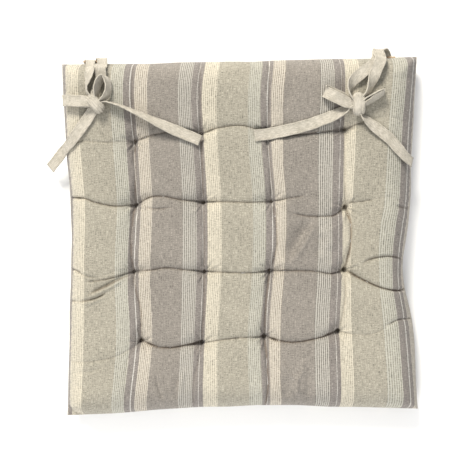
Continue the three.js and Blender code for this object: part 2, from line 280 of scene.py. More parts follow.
def inset(x, y):
    """Distance in mm from the seam."""
    best = np.full(len(x), 1e9)
    loop = OUTLINE[:: PER_CELL // 2]
    for a, b in zip(loop, np.roll(loop, -1, 0)):
        best = np.minimum(best, to_segment(x, y, a, b - a)[0])
    ear = EAR_RADIUS - np.hypot(x - EAR[0], y - EAR[1])
    return np.where((x < EAR[0]) & (y < EAR[1]), np.minimum(best, ear.clip(0)), best)


TUFT_REACH = 13  # how far a tuft draws the cloth down, and a puff's shoulder is wide, in mm
SHALLOW = 16  # a crease of depth 0 starts as far up the shoulder as this
EDGE_ROLL = 28  # from the seam to the full height


def stuffed_shape(x, y, tuft_z, crest_z):
    """Height of a panel before the cloth is relaxed: round-shouldered puffs between the creases."""
    tuft = np.full(len(x), 1e9)
    for tx, ty in (t for row in TUFTS for t in row):
        tuft = np.minimum(tuft, np.hypot(x - tx, y - ty))
    crease = np.full(len(x), 1e9)
    for deep, _, points in CREASES:
        crease = np.minimum(crease, near(points, x, y)[0] + SHALLOW * (1 - deep))
    floor = 0.87 * (1 - np.exp(-((tuft / TUFT_REACH) ** 1.2)))
    shoulder = TUFT_REACH * (1 + 0.9 * np.exp(-((tuft / TUFT_REACH) ** 2)))
    puff = floor + (1 - floor) * crown(crease, shoulder)
    edge = crown(inset(x, y) - 2.0, EDGE_ROLL)
    return SEAM_Z + edge * (tuft_z - SEAM_Z + (crest_z - tuft_z) * puff)


# ---------------------------------------------------------------- relaxing the cloth


def grid_faces(count):
    i, j = np.meshgrid(np.arange(count), np.arange(count))
    a = (j * (count + 1) + i).ravel()
    return np.stack([a, a + 1, a + count + 2, a + count + 1], 1)


def new_mesh(name, verts, faces, smooth=False):
    """An object of its own from points in mm."""
    mesh = bpy.data.meshes.new(name)
    mesh.from_pydata((np.asarray(verts) * MM).tolist(), [], faces)
    mesh.polygons.foreach_set("use_smooth", np.full(len(mesh.polygons), smooth))
    mesh.update()
    obj = bpy.data.objects.new(name, mesh)
    bpy.context.scene.collection.objects.link(obj)
    return obj


def vectors_of(mesh, what):
    """One vector of every vertex: "co" or "normal"."""
    flat = np.empty(len(mesh.vertices) * 3)
    mesh.vertices.foreach_get(what, flat)
    return flat.reshape(-1, 3)


def unwrap(obj, layer, uv):
    """Gives every vertex its place on the flat cloth or tape, in metres."""
    loops = np.empty(len(obj.data.loops), int)
    obj.data.loops.foreach_get("vertex_index", loops)
    obj.data.uv_layers.new(name=layer).data.foreach_set("uv", np.asarray(uv)[loops].ravel())


COUNT = (N + 1) ** 2
on_seam = np.zeros((N + 1, N + 1), bool)
on_seam[[0, -1], :] = on_seam[:, [0, -1]] = True
on_seam = on_seam.ravel()
seam_wave = np.zeros(COUNT)
turn = np.arctan2(PY, PX)
seam_wave[on_seam] = (1.6 * np.sin(11 * turn + 0.7) + 1.0 * np.sin(23 * turn + 2.0))[on_seam]

top_z = stuffed_shape(PX, PY, TUFT_TOP_Z, CREST_Z) + seam_wave
low_z = stuffed_shape(PX, PY, TUFT_BOTTOM_Z, CREST_BOTTOM_Z) + seam_wave
top = np.stack([PX, PY, top_z], 1)
low = np.stack([PX, PY, low_z], 1)

low_index = np.where(on_seam, np.arange(COUNT), COUNT + np.cumsum(~on_seam) - 1)
cloth_faces = np.concatenate([grid_faces(N), low_index[grid_faces(N)][:, ::-1]])
tuft_ids = [
    (r * PER_CELL) * (N + 1) + c * PER_CELL for r in (1, 2, 3, 4) for c in (1, 2, 3, 4)
]


def relax(frames):
    """Lets both panels find their folds: cut flat, held at the seam and the tufts, filled by pressure."""
    start = np.concatenate([top, low[~on_seam]])
    cut = np.stack([FX - FLAT_X[-1] / 2, FY - FLAT_Y[-1] / 2, np.zeros(COUNT)], 1)
    cut = np.concatenate([cut, cut[~on_seam]]) * MM
    bag = new_mesh("bag", start, cloth_faces.tolist())
    bag.shape_key_add(name="Basis")
    rest = bag.shape_key_add(name="cut")
    rest.data.foreach_set("co", cut.ravel())
    held = bag.vertex_groups.new(name="held")
    held.add([int(i) for i in np.flatnonzero(on_seam)], 1.0, "REPLACE")
    held.add(tuft_ids + [int(low_index[i]) for i in tuft_ids], 1.0, "REPLACE")
    soft = [near(points, PX, PY)[0] < 2.0 for deep, _, points in CREASES if deep > 0.75]
    for i in np.flatnonzero(np.any(soft, 0) & ~on_seam):
        if int(i) not in tuft_ids:
            held.add([int(i), int(low_index[i])], 0.5, "REPLACE")
    modifier = bag.modifiers.new("Cloth", "CLOTH")
    cloth = modifier.settings
    cloth.quality = 6
    cloth.mass = 0.15
    cloth.tension_stiffness = cloth.compression_stiffness = 30
    cloth.shear_stiffness = 8
    cloth.bending_stiffness = 0.05
    cloth.tension_damping = cloth.compression_damping = 12
    cloth.air_damping = 4
    cloth.use_pressure = True
    cloth.uniform_pressure_force = 2.4
    cloth.vertex_group_mass = "held"
    cloth.pin_stiffness = 6
    cloth.rest_shape_key = rest
    cloth.effector_weights.gravity = 0
    modifier.collision_settings.use_collision = False
    scene = bpy.context.scene
    for k in range(1, frames + 1):
        scene.frame_set(k)
    graph = bpy.context.evaluated_depsgraph_get()
    relaxed = vectors_of(bag.evaluated_get(graph).to_mesh(), "co") / MM
    scene.frame_set(1)
    bpy.data.objects.remove(bag)
    return relaxed


RELAX_FRAMES = 28
MOST_MOVE = 12  # mm that the cloth may move from the stuffed shape

before = np.concatenate([top, low[~on_seam]])
moved = relax(RELAX_FRAMES) - before
far = np.linalg.norm(moved, axis=1, keepdims=True)
after = before + moved * np.minimum(1, MOST_MOVE / np.maximum(far, 1e-6))
top, low = after[:COUNT], after[low_index]

# ---------------------------------------------------------------- panels


def panel(name, points, faces, levels):
    """A panel of the pad, refined, with its flat cloth coordinates in a UV map."""
    obj = new_mesh(name, points, faces.tolist())
    unwrap(obj, "Cloth", np.stack([STRIPE_X, FY], 1) * MM)
    smooth = obj.modifiers.new("refine", "SUBSURF")
    smooth.levels = smooth.render_levels = levels
    smooth.boundary_smooth = "PRESERVE_CORNERS"
    graph = bpy.context.evaluated_depsgraph_get()
    fine = bpy.data.meshes.new_from_object(obj.evaluated_get(graph))
    fine.name = name
    obj.modifiers.clear()
    obj.data = fine
    fine.polygons.foreach_set("use_smooth", np.ones(len(fine.polygons), bool))
    return obj


GROOVE_DEPTH, GROOVE_WIDTH = 1.9, 0.9  # mm, in the sharpest creases
# width in mm of the painted shade along a crease
PAINTED_SHADE_WIDTH = 0.85
DIMPLE_DEPTH, DIMPLE_WIDTH = 1.2, 1.5


def bell(d, width):
    return np.exp(-((d / width) ** 2))


def sculpt(obj, side):
    """Sharpens the creases, adds the loose folds, the tuft dimples and the seam's small puckers, and stores
    painted shade.
    """
    co = vectors_of(obj.data, "co") / MM
    x, y = co[:, 0], co[:, 1]
    edge = inset(x, y)
    push = np.zeros(len(co))
    lift = np.zeros(len(co))  # the loose folds stand straight up from the pad
    painted_shade = np.zeros(len(co))  # painted shade where two puffs touch: how far the cloth colour is darkened in creases, narrow folds and tuft dimples
    for _, sharp, points in CREASES:
        d, where, _ = near(points, x, y)
        ends = np.minimum(1, 5 * np.minimum(where, 1 - where) + 0.3)
        push -= sharp * GROOVE_DEPTH * np.exp(-d / GROOVE_WIDTH) * ends
        # painted shade along the sharper creases
        painted_shade = np.maximum(painted_shade, np.minimum(1, (0.48 * sharp) ** 2) * bell(d, PAINTED_SHADE_WIDTH) * ends)
    if side > 0:
        for height, left_width, right_width, points in FOLDS:
            d, where, left_hand = near(points, x, y)
            fade = np.minimum(1, 4 * np.minimum(where, 1 - where))
            lift += height * bell(d, np.where(left_hand, left_width, right_width)) * fade
            if height < -1.7 and min(left_width, right_width) < 1.7:
                # painted shade at the bottom of a deep narrow fold
                painted_shade = np.maximum(painted_shade, 0.22 * -height * bell(d, 0.8) * fade)
    for tx, ty in (t for row in TUFTS for t in row):
        r, a = np.hypot(x - tx, y - ty), np.arctan2(y - ty, x - tx)
        gathers = 0.5 * np.cos(9 * a + tx) + 0.3 * np.cos(14 * a + ty)
        push += 1.1 * gathers * bell(r - 9, 6)
        push -= DIMPLE_DEPTH * bell(r, DIMPLE_WIDTH)
        # painted shade in the tuft dimple
        painted_shade = np.maximum(painted_shade, 0.9 * bell(r, 1.1))
    along = np.where(np.abs(x) > np.abs(y), y, x)
    pucker = np.sin(along * 0.72 + 1.3 * np.sin(along * 0.11)) * bell(edge, 7)
    push += 0.45 * pucker * np.minimum(1, edge / 1.5)
    push *= np.minimum(1, edge / 4)
    co += vectors_of(obj.data, "normal") * push[:, None]
    co[:, 2] += lift * np.minimum(1, edge / 6)
    if side < 0:  # pressed flat where it lies on the seat
        low_part = co[:, 2] < FLAT_BELOW
        co[low_part, 2] = FLAT_BELOW * np.exp(np.minimum(0, (co[low_part, 2] - FLAT_BELOW) / FLAT_BELOW))
    obj.data.vertices.foreach_set("co", (co * MM).ravel())
    obj.data.attributes.new("painted_shade", "FLOAT", "POINT").data.foreach_set("value", painted_shade)
    obj.data.update()


top_panel = panel("top_panel", top, grid_faces(N), 2)
bottom_panel = panel("bottom_panel", low, grid_faces(N)[:, ::-1], 1)
sculpt(top_panel, 1)
sculpt(bottom_panel, -1)

# ---------------------------------------------------------------- filling

graph = bpy.context.evaluated_depsgraph_get()
top_tree = BVHTree.FromObject(top_panel, graph)
low_tree = BVHTree.FromObject(bottom_panel, graph)
AROUND = [(0, 0)] + [(math.cos(a), math.sin(a)) for a in np.arange(0, 6.2, math.pi / 4)]


def height(x, y):
    """The top panel's height in mm at a point, or well below it where there is no pad."""
    hit = top_tree.ray_cast(Vector((x * MM, y * MM, 0.2)), Vector((0, 0, -1)))[0]
    return hit.z / MM if hit else -40.0


def depth(x, y):
    """The bottom panel's height in mm at a point."""
    hit = low_tree.ray_cast(Vector((x * MM, y * MM, -0.1)), Vector((0, 0, 1)))[0]
    return hit.z / MM if hit else SEAM_Z


FILLING_SHARE, FILLING_GAP = 0.982, 0.8  # of the pad's width; mm from each panel


def fill():
    """The fibre filling: it follows the inside of both panels, a little clear of them."""
    xy = np.stack([PX, PY], 1) * FILLING_SHARE
    roof, ground = np.empty(COUNT), np.empty(COUNT)
    for k, (x, y) in enumerate(xy):
        roof[k] = min(height(x + 3 * a, y + 3 * b) for a, b in AROUND[::2]) - FILLING_GAP
        ground[k] = max(depth(x + 3 * a, y + 3 * b) for a, b in AROUND[::2]) + FILLING_GAP
    middle = (roof + ground) / 2
    roof, ground = np.maximum(roof, middle + 0.2), np.minimum(ground, middle - 0.2)
    roof[on_seam] = middle[on_seam]
    points = np.concatenate([np.c_[xy, roof], np.c_[xy, ground][~on_seam]])
    return new_mesh("fibre_filling", points, cloth_faces.tolist(), smooth=True)


filling = fill()

# ---------------------------------------------------------------- tapes

TAPE_W, TAPE_T = 13, 1.5
UP = (0, 0, 1)


def at(x, y, z, face=UP, wide=TAPE_W):
    """A point of a tape's route, the way its face looks there and how wide it lies."""
    return (x, y, z, face, wide)


def over(x, y, lift, face=UP, wide=TAPE_W, reach=6):
    """A tape point resting lift above the highest cloth within reach."""
    cloth = max(height(x + reach * a, y + reach * b) for a, b in AROUND)
    return at(x, y, cloth + lift, face, wide)


def fold_back(x, top_x, out, wide=TAPE_W):
    """The tape's first 45 mm: caught in the seam face down, out past the edge and back over it."""
    lean = top_x - x
    return [
        at(x, 192.5, 15.6, (0, 0, -1)),
        at(x, 198, 15.7, (0, 0, -1)),
        at(x + 0.1 * lean, 200.5 + 0.35 * out, 16.6, (0, 0.35, -0.9)),
        at(x + 0.35 * lean, 201 + 0.85 * out, 19.6, (0, 0.85, -0.5)),
        at(x + 0.7 * lean, 201 + out, 25.0, (0, 1, 0.1), wide),
        at(x + lean, 198.6 + out, 31.0, (0, 0.75, 0.65), wide),
    ]


# Route of each tape, from its root over the back edge to its cut end, in mm
RIGHT_A = fold_back(161, 156, 6.0) + [
    at(154.0, 196.0, 37.5, (-0.1, 0.4, 0.9)),
    over(146.6, 185.8, 4.5, (-0.2, 0.1, 1)),
    over(133.5, 176.2, 4.5, (-0.1, 0.1, 1)),
    over(124.3, 167.8, 5.0, (0.35, -0.2, 1), 12.5),
    over(119.8, 158.9, 6.4, (1.0, -0.05, 0.45), 12),
    over(121.8, 151.1, 7.4, (1.0, 0.5, 0.35), 11),
    over(127.8, 144.4, 6.8, (0.3, 0.6, 0.7), 8),
    over(122.8, 142.0, 8.4, (0.1, 0.0, 1), 10),
    over(115.0, 144.5, 9.5, (0.12, 0.05, 1)),
    over(104.4, 149.6, 9.8),
    over(96.6, 154.0, 7.6, (-0.35, 0.2, 0.9)),
    over(93.3, 156.5, 4.4, (-1, 0.45, 0)),
    over(96.8, 157.2, 2.0, (-0.2, 0.1, -1)),
    over(105.5, 153.2, 2.0, (0, 0, -1)),
    over(116.0, 147.9, 2.6, (0.05, 0, -1)),
    over(124.0, 142.6, 3.6, (0.1, 0.3, -1), 10),
    over(128.9, 136.8, 3.6, (0.9, 0.6, -0.6), 8),
    over(131.5, 131.5, 4.6, (0.85, 0.5, 0.1), 9),
    over(138.4, 125.5, 4.6, (0.45, 0.45, 0.75), 11.5),
    over(146.6, 118.8, 1.8, (0.25, 0.25, 1)),
    over(155.2, 111.7, 1.4, (0.12, 0.12, 1)),
    over(163.9, 104.6, 1.2, (0.15, 0.15, 1)),
    over(173.1, 94.4, 1.2, (0.25, 0.18, 1)),
    over(181.1, 86.1, 1.2, (0.4, 0.3, 1)),
    over(190.6, 79.0, 1.2, (0.6, 0.4, 1)),
]
RIGHT_B = fold_back(168.0, 156.2, 6.8) + [
    at(156.8, 196.8, 39.0, (0.05, 0.45, 0.9)),
    over(155.0, 191.1, 8.5, (0.05, 0.1, 1)),
    over(148.6, 176.7, 6.2, (0.0, 0.05, 1)),
    over(144.1, 165.2, 6.0, (0.75, -0.3, 1), 12.5),
    over(139.3, 154.5, 6.8, (1.0, -0.45, 0.5), 11),
    over(132.6, 146.8, 6.8, (0.9, -0.6, 0.5), 8),
    over(130.2, 143.6, 7.0, (-0.3, 0.9, 0.3), 8),
    over(137.5, 148.6, 7.2, (-0.42, 0.9, 0.1), 11),
    over(146.5, 153.4, 7.3, (-0.5, 0.86, 0.12)),
    over(154.0, 157.1, 7.3, (-0.45, 0.9, 0.12)),
    over(157.8, 156.9, 7.2, (0.9, 0.35, 0.1)),
    over(156.0, 153.7, 7.0, (0.5, -0.82, 0.3)),
    over(147.4, 148.6, 6.8, (0.45, -0.8, 0.42)),
    over(138.8, 143.2, 6.6, (0.42, -0.85, 0.36), 11),
    over(130.8, 141.4, 6.4, (0.2, -0.9, 0.3), 8),
    over(122.9, 141.7, 5.6, (-0.2, 1, 0.5), 9),
    over(114.0, 136.6, 3.4, (-0.2, 0.7, 1), 12),
    over(102.1, 130.5, 1.8, (-0.05, 0.35, 1)),
    over(87.9, 125.2, 1.4, (-0.05, 0.2, 1)),
    over(72.8, 120.4, 1.2),
    over(52.2, 115.6, 1.2),
    over(32.9, 112.3, 1.2, (-0.05, 0, 1)),
    over(16.1, 110.0, 1.2, (-0.15, 0, 1)),
]
LEFT_A = fold_back(-169.5, -166.0, -0.8, 10.5) + [
    at(-165.1, 189.0, 36.5, (-0.3, 0.5, 0.8), 11),
    over(-163.9, 183.1, 6.0, (-0.35, 0.1, 0.9), 12.5),
    over(-165.2, 172.8, 6.4, (-0.95, 0.0, 0.75), 12),
    over(-167.0, 163.7, 6.8, (-1, -0.1, 0.25), 11),
    over(-164.9, 156.0, 6.8, (-1, -0.2, 0.3), 10),
    over(-157.6, 149.7, 6.8, (-0.7, -0.7, 0.3), 8),
    over(-159.7, 147.9, 8.4, (-0.1, -0.2, 1), 10),
    over(-167.8, 149.0, 8.8, UP, 12),
    over(-177.7, 149.8, 7.2, UP, 12.6),
    over(-188.9, 151.7, 5.0, (-0.45, 0, 0.9), 12.6),
    at(-195.7, 152.8, 34.0, (-1, 0, 0), 12.4),
    at(-191.9, 152.9, 31.0, (-0.3, 0, -1), 12.4),
    over(-179.2, 149.8, 1.6, (0, 0, -1), 12.4),
    over(-169.5, 149.0, 2.2, (0, 0, -1), 12),
    over(-160.5, 146.7, 4.0, (0, 0.2, -1), 9),
    over(-154.6, 145.7, 5.4, (0.2, 0.9, -0.3), 8),
    over(-147.9, 148.6, 5.4, (0.3, 1, 0.1), 9),
    over(-140.6, 147.5, 5.2, (0.3, 0.95, 0.2), 10.5),
    over(-129.1, 143.6, 5.4, (0.36, 0.93, 0.25), 12),
    over(-116.0, 137.7, 5.4, (0.4, 0.9, 0.4)),
    over(-97.6, 128.9, 3.8, (0.38, 0.85, 0.75)),
    over(-83.3, 122.4, 2.2, (0.25, 0.5, 0.9)),
    over(-70.4, 116.7, 1.6, (0.15, 0.3, 1)),
    over(-55.4, 110.5, 1.4, (0.15, 0.3, 1)),
    over(-43.8, 105.5, 1.4, (0.2, 0.3, 1)),
]
LEFT_B = fold_back(-156.5, -153.0, 1.2, 11) + [
    at(-152.0, 191.2, 37.5, (0.1, 0.5, 0.85), 11.5),
    over(-152.8, 187.6, 6.4, (0.1, 0.1, 1)),
    over(-151.9, 177.3, 3.2, (0.1, -0.1, 1), 12),
    over(-155.6, 168.6, 2.0, (0.1, 0.1, 1), 9),
    over(-160.1, 163.3, 3.6, (-0.4, 0.9, 0.5), 6),
    over(-161.4, 158.7, 7.0, (-1, 0.4, 0.5), 5),
    over(-159.6, 153.3, 7.4, (-0.8, -0.4, 0.5), 7),
    over(-156.1, 149.3, 7.0, (-0.9, 0.1, 0.3), 8),
    over(-156.1, 153.8, 7.8, (-1, 0.1, -0.25), 10),
    over(-155.5, 161.9, 8.2, (-0.92, 0.1, -0.42), 12.6),
    over(-153.0, 170.9, 8.2, (-0.85, 0.3, -0.42)),
    over(-148.2, 176.8, 8.2, (-0.1, 1, 0.0)),
    over(-144.0, 171.3, 8.0, (0.95, 0.15, 0.42)),
    over(-142.7, 162.6, 7.8, (0.95, -0.1, 0.42)),
    over(-146.2, 154.2, 7.4, (0.85, -0.45, 0.38), 12),
    over(-153.2, 147.8, 6.6, (0.75, -0.6, 0.3), 9),
    over(-159.2, 142.2, 3.4, (0.3, 0.2, 1), 11),
    over(-167.4, 130.4, 1.6, (-0.1, 0.1, 1)),
    over(-176.7, 118.2, 1.4, (-0.1, 0.1, 1)),
    over(-187.4, 106.7, 1.2, (-0.2, 0.1, 1)),
    at(-199.1, 98.4, 24.0, (-0.25, 0.15, 1)),
    at(-207.9, 88.7, 20.0, (-0.25, 0.15, 1)),
    at(-216.3, 79.8, 15.5, (-0.25, 0.15, 1)),
]
ROUTES = {"right_tie_a": RIGHT_A, "right_tie_b": RIGHT_B, "left_tie_a": LEFT_A, "left_tie_b": LEFT_B}
# Half of a tape's cross-section, edge to edge over the face: (across, thickness), with turned-in hems.
FACE = [(-1, 0), (-0.985, 0.62), (-0.93, 1), (-0.8, 0.95), (-0.7, 0.62), (-0.35, 0.56), (0, 0.52)]
FACE = FACE + [(-a, b) for a, b in FACE[-2::-1]]
RING = FACE + [(a, -b) for a, b in FACE[-2:0:-1]]


TAPE_CLEAR = 1.0  # from a tape's centreline down to the cloth


def lay(route, step=1.6):
    """A tape's centreline, faces and widths every step mm, lifted clear of the pad it crosses."""
    points = np.array([p[:3] for p in route], float)
    faces = unit(np.array([p[3] for p in route], float))
    t = np.linspace(0, len(route) - 1, 40 * len(route))
    line = spline(points, t)
    along = running_length(line)
    even = np.interp(np.linspace(0, along[-1], int(along[-1] / step)), along, t)
    line = spline(points, even)
    face = spline(faces, even)
    wide = np.interp(even, range(len(route)), [p[4] for p in route])
    for _ in range(2):
        tangent = unit(np.gradient(line, axis=0))
        normal = unit(face - (face * tangent).sum(1, keepdims=True) * tangent)
        side = np.cross(tangent, normal)
        lift = np.zeros(len(line))
        for k in np.flatnonzero((even > 6) & (line[:, 1] < 199)):
            for share in (-1, -0.5, 0, 0.5, 1):
                p = line[k] + side[k] * share * wide[k] / 2
                lift[k] = max(lift[k], height(p[0], p[1]) + TAPE_CLEAR - p[2])
        far = np.subtract.outer(even, even) * along[-1] / even[-1]
        line[:, 2] += np.max(lift[None] - far**2 / 60, 1).clip(0) * (even > 5)
    return line, normal, side, wide


def tape(name, route):
    """A tape swept along its route, with its centreline in metres."""
    line, normal, side, wide = lay(route)
    count, n = len(line), len(RING)
    length = running_length(line)
    verts, uvs = [], []
    for k in range(count):
        for across, thick in RING:
            ripple = 0.16 * math.sin(length[k] * 0.9 + 2 * across) * abs(across)
            half = wide[k] / 2 * (1 + 0.015 * math.sin(length[k] * 0.37 + across))
            out = thick * TAPE_T / 2 + ripple
            verts.append(line[k] + side[k] * across * half + normal[k] * out)
            uvs.append((length[k] * MM, across * 6.5 * MM + (0 if thick >= 0 else 0.02)))
    faces = []
    for k in range(count - 1):
        for i in range(n):
            j = (i + 1) % n
            faces.append((k * n + i, (k + 1) * n + i, (k + 1) * n + j, k * n + j))
    for base, way in ((0, 1), ((count - 1) * n, -1)):  # flat ends, cut and hemmed
        for i in range(len(FACE) - 1):
            corners = (i, i + 1, (n - i - 1) % n, (n - i) % n)
            faces.append([base + c for c in dict.fromkeys(corners)][::way])
    obj = new_mesh(name, verts, faces, smooth=True)
    unwrap(obj, "Tape", uvs)
    return obj, line * MM


tapes = {name: tape(name, route) for name, route in ROUTES.items()}


def knot(name, centre, along, half, folds):
    """A flattened wrap of tape: half = (half width, half length, half height) and its pressed folds."""
    x, y = centre
    ux, uy = along
    z = over(x, y, 0)[2] + half[2] * 0.92
    verts, uvs, faces = [], [], []
    around, across_rows = 64, 40
    for i in range(across_rows + 1):
        v = -1 + 2 * i / across_rows
        v = math.copysign(abs(v) ** 0.8, v)
        body = (1 - abs(v) ** 3.4) ** (1 / 3.4) if abs(v) < 1 else 0.0
        for k in range(around):
            a = 2 * math.pi * k / around
            rim = 0.05 * math.exp(-(((abs(v) - 0.84) / 0.09) ** 2))
            pleats = sum(
                -d * math.exp(-(((v - v0 - lean * math.cos(a)) / w) ** 2)) for v0, lean, w, d in folds
            )
            r = body * (1 + rim + pleats * body)
            c, s = math.cos(a), math.sin(a)
            c = math.copysign(abs(c) ** 0.85, c)
            s = math.copysign(abs(s) ** 0.8, s)
            length, up = c * r * half[1] * (1 - 0.10 * v * v), s * r * half[2]
            across = v * half[0] * (1 + 0.04 * math.cos(3 * a))
            verts.append((x + ux * length - uy * across, y + uy * length + ux * across, z + up))
            uvs.append((k / around * 0.055, (i / across_rows - 0.5) * TAPE_W * MM))
    for i in range(across_rows):
        for k in range(around):
            j = (k + 1) % around
            faces.append((i * around + k, i * around + j, (i + 1) * around + j, (i + 1) * around + k))
    faces.append(tuple(range(around))[::-1])
    faces.append(tuple(across_rows * around + k for k in range(around)))
    obj = new_mesh(name, verts, faces, smooth=True)
    unwrap(obj, "Tape", uvs)
    obj.data.validate()
    return obj


right_knot = knot(
    "right_knot", (129.8, 142.4), (0.03, -1.0), (7.2, 12.8, 6.4), [(0.42, -0.12, 0.12, 0.06)]
)
left_knot = knot(
    "left_knot",
    (-157.4, 146.6),
    (0.66, -0.75),
    (6.4, 12.2, 6.6),
    [(-0.42, 0.12, 0.10, 0.10), (0.05, 0.20, 0.09, 0.12), (0.5, 0.1, 0.10, 0.09)],
)

# ---------------------------------------------------------------- stitches


def thread(name, paths, radius, sides=6):
    """One mesh of round thread along each path (points in mm), its ends tapered and closed."""
    verts, faces = [], []
    for path in paths:
        p = np.asarray(path, float)
        tangent = unit(np.gradient(p, axis=0))
        first = unit(np.cross(tangent, (0.31, 0.17, 0.93)))
        second = np.cross(tangent, first)
        base = len(verts)
        for k in range(len(p)):
            r = radius * (0.45 if k in (0, len(p) - 1) else 1.0)
            for i in range(sides):
                a = 2 * math.pi * i / sides
                verts.append(p[k] + r * (math.cos(a) * first[k] + math.sin(a) * second[k]))
        for ring in range(base, base + (len(p) - 1) * sides, sides):
            for i in range(sides):
                j = (i + 1) % sides
                faces.append((ring + i, ring + j, ring + sides + j, ring + sides + i))
        faces.append(tuple(base + i for i in range(sides))[::-1])
        faces.append(tuple(base + (len(p) - 1) * sides + i for i in range(sides)))
    return new_mesh(name, verts, faces, smooth=True)


seam = rim(top.reshape(N + 1, N + 1, 3))
closed = np.r_[seam, seam[:1]]
seam_length = running_length(closed)
STITCH_PITCH, STITCH_LENGTH = 3.4, 2.9
stitches = []
for start in np.arange(0, seam_length[-1] - 3.2, STITCH_PITCH):
    s = np.linspace(start, start + STITCH_LENGTH, 5)
    p = np.stack([np.interp(s, seam_length, closed[:, k]) for k in range(3)], 1)
    inward = -p[:, :2] / np.abs(p[:, :2]).max()
    p[:, :2] += inward * 0.7
    p[:, 2] += 0.35 * np.sin(np.linspace(0, math.pi, 5))
    stitches.append(p)
seam_stitches = thread("seam_stitches", stitches, 0.32)


def tuft_stitch(row, col):
    """Two short stitches across each end of a tuft, and the thread between them through the pad."""
    x, y = TUFTS[row][col]
    heading = rng.uniform(-0.5, 0.5)
    z_top, z_low = height(x, y), depth(x, y)
    paths = []
    for aside in (-0.3, 0.3):
        half = rng.uniform(1.1, 1.6)
        c, s = math.cos(heading + aside * 0.5), math.sin(heading + aside * 0.5)
        for z, side, proud in ((z_top, 1, 0.35), (z_low, -1, 0.2)):
            path = []
            for f in np.linspace(-1, 1, 9):
                lift = 0.9 * (1 - f * f) - 0.25 - 1.0 * f**6
                across = (x + c * half * f - s * aside, y + s * half * f + c * aside)
                path.append((*across, z + side * (lift + proud)))
            paths.append(path)
    paths.append([(x, y, z_top - 0.6), (x, y, (z_top + z_low) / 2), (x, y, z_low + 0.6)])
    return thread(f"tuft_stitch_r{row + 1}_c{col + 1}", paths, 0.3)


tuft_pieces = [tuft_stitch(row, col) for row in range(4) for col in range(4)]


def bar_tack(name, x0, x1):
    """Close zigzag stitches that hold a pair of tapes in the back seam."""
    path = []
    count = int((x1 - x0) / 0.55)
    for k in range(count * 4 + 1):
        t = k / (count * 4)
        swing = math.sin(k * math.pi / 2)
        path.append((x0 + (x1 - x0) * t, 200.4 + 1.3 * swing, 17.6 - 0.25 * abs(swing)))
    return thread(name, [path], 0.3)


bar_tacks = {"right": bar_tack("right_tack", 153.5, 178), "left": bar_tack("left_tack", -176.5, -150.5)}

# ---------------------------------------------------------------- materials


class Nodes:
    """Short-hand for a node tree: every call adds a node and gives its first output."""

    def __init__(self, name):
        self.material = bpy.data.materials.new(name)
        self.material.use_nodes = True
        self.tree = self.material.node_tree
        self.shader = self.tree.nodes["Principled BSDF"]

    def add(self, kind, inputs=(), **settings):
        node = self.tree.nodes.new("ShaderNode" + kind)
        for key, value in settings.items():
            setattr(node, key, value)
        for key, value in dict(inputs).items():
            self.set(node.inputs[key], value)
        return node

    def set(self, socket, value):
        if isinstance(value, bpy.types.Node):
            value = value.outputs[0]
        if isinstance(value, bpy.types.NodeSocket):
            self.tree.links.new(value, socket)
        else:
            socket.default_value = value

    def math(self, operation, a, b=0.0, c=0.0, clamp=False):
        return self.add("Math", {0: a, 1: b, 2: c}, operation=operation, use_clamp=clamp)

    def mul(self, a, b):
        return self.math("MULTIPLY", a, b)

    def sum(self, a, b):
        return self.math("ADD", a, b)

    def mix(self, factor, a, b, blend="MIX"):
        node = self.add("Mix", data_type="RGBA", blend_type=blend)
        for socket, value in ((node.inputs[0], factor), (node.inputs[6], a), (node.inputs[7], b)):
            self.set(socket, value)
        return node.outputs[2]

    def noise(self, vector, scale, detail=2.0, rough=0.5):
        return self.add("TexNoise", {"Vector": vector, "Scale": scale, "Detail": detail, "Roughness": rough})

    def ramp(self, value, stops, interpolation="LINEAR"):
        node = self.add("ValToRGB", {0: value})
        ramp = node.color_ramp
        ramp.interpolation = interpolation
        while len(ramp.elements) < len(stops):
            ramp.elements.new(0.5)
        for element, (at, colour) in zip(ramp.elements, stops):
            element.position = at
            element.color = (*colour, 1)
        return node


def linear(r, g, b, gain=1.0):
    """A display colour, 0 to 255, as linear light."""
    return tuple(
        gain * (c / 12.92 if c <= 0.04045 else ((c + 0.055) / 1.055) ** 2.4)
        for c in (r / 255, g / 255, b / 255)
    )


# One repeat of the stripes across the cloth: width in mm, ground colour, colour of the fine lines.
BEIGE, TAUPE, DARK, PIN = (192, 186, 170), (168, 161, 152), (160, 153, 147), (238, 234, 226)
STRIPES = [
    (5.6, DARK, DARK),
    (17.9, (208, 200, 182), (244, 236, 216)),
    (34.4, BEIGE, BEIGE),
    (16.2, (180, 177, 163), (222, 219, 206)),
    (8.0, DARK, DARK),
    (1.3, PIN, PIN),
    (5.6, DARK, DARK),
    (15.6, (186, 176, 162), (236, 228, 213)),
    (35.0, TAUPE, TAUPE),
    (17.8, (154, 148, 139), (220, 216, 206)),
    (8.0, DARK, DARK),
    (1.3, PIN, PIN),
]
REPEAT = sum(s[0] for s in STRIPES) * MM


